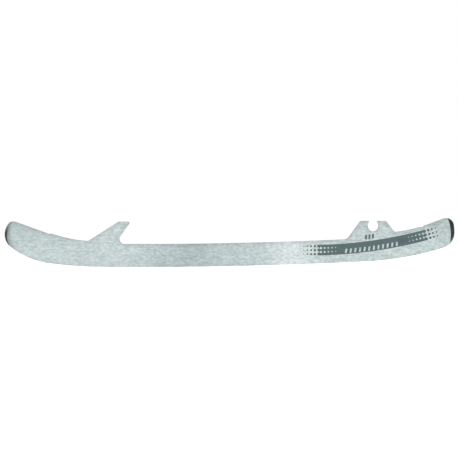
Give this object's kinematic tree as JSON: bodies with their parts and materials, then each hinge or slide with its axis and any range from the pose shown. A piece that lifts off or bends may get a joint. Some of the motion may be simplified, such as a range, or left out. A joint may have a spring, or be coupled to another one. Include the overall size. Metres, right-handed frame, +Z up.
{
  "type": "hockey skate runner",
  "caption": "Long curved steel skate runner with a hollow ground edge, a hook near the toe, a notched tab near the heel, dark coated ends and a printed band.",
  "frame": {"origin": "middle of the length and of the thickness, at the lowest point of the running edge", "axes": "+X along the runner towards the heel, +Y through the thickness away from the printed face, +Z up from the running edge to the tabs"},
  "size_m": [0.2722, 0.0032, 0.0297],
  "materials": {
    "steel": "satin, fine grained",
    "end_coat": "dark satin coat",
    "ink": "printed ink"
  },
  "bodies": {
    "root": {"steel_runner": "steel", "toe_end_coat": "end_coat", "heel_end_coat": "end_coat", "print_band": "ink", "front_dots": "ink", "rear_dots": "ink", "size_mark": "ink"}
  },
  "joints": []
}
